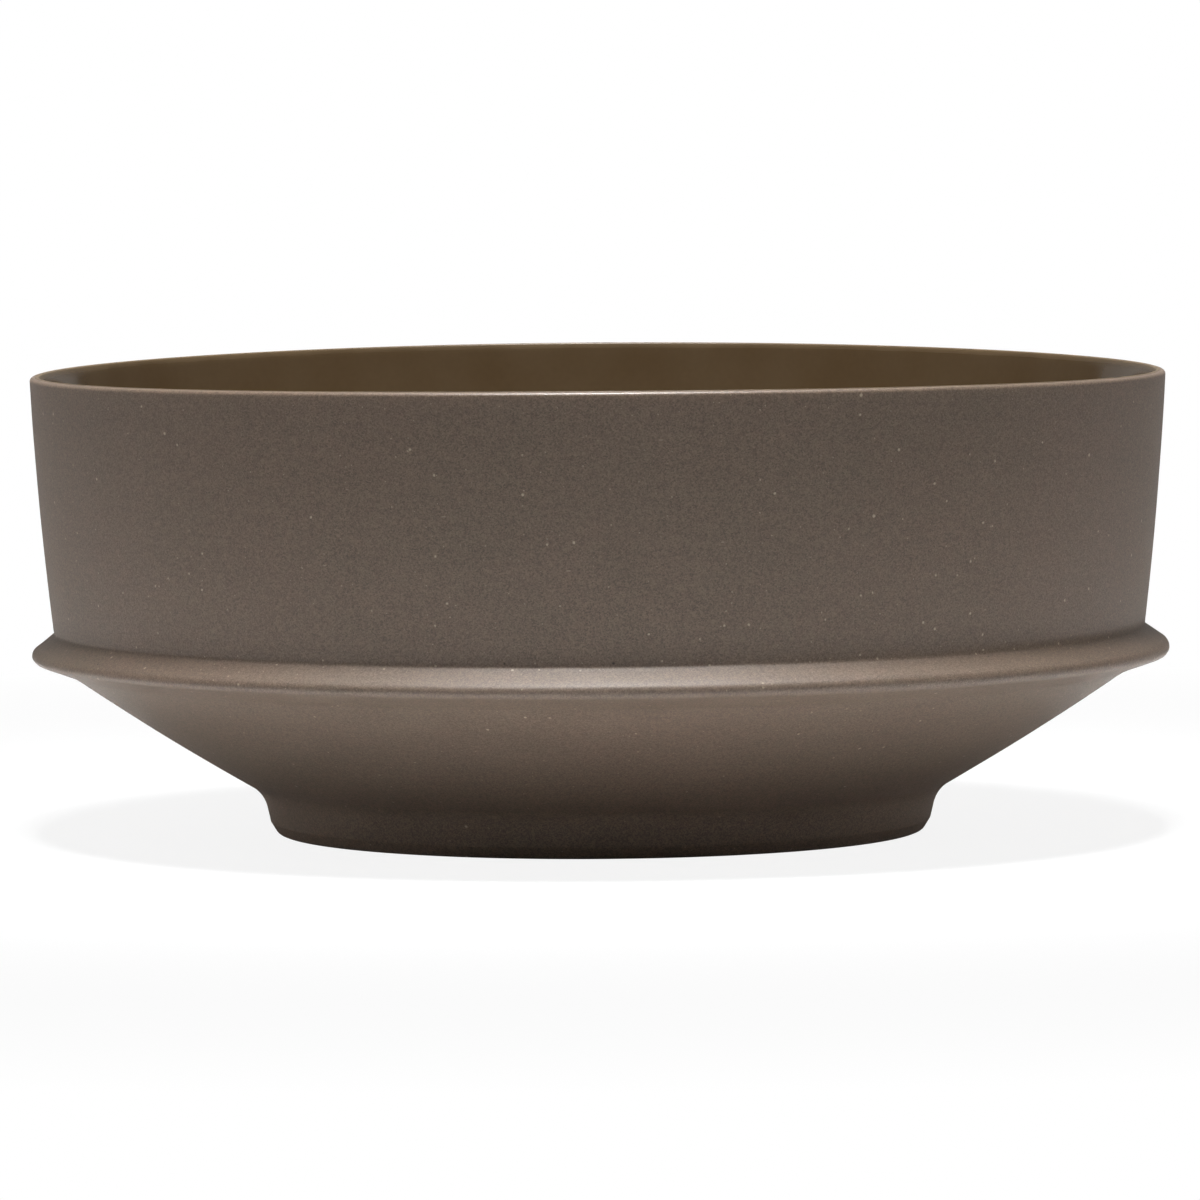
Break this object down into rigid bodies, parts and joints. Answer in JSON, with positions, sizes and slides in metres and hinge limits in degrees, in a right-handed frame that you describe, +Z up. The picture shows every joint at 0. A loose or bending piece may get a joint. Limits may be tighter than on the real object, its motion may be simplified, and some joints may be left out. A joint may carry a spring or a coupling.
{
  "type": "bowl",
  "caption": "Footed round stoneware bowl with an upright wall, a sloping ring thrown out at its waist, a shallow cone below it and a dark glazed inside.",
  "frame": {"origin": "centre of the flat ring that the foot stands on", "axes": "+Z up along the bowl's axis. The bowl is round, so +X and +Y are any two level directions; the picture looks along +Y."},
  "size_m": [0.23, 0.23, 0.094],
  "materials": {
    "stoneware": "matte",
    "glaze": "satin"
  },
  "bodies": {
    "root": {"stoneware_body": "stoneware", "inner_glaze": "glaze"}
  },
  "joints": []
}
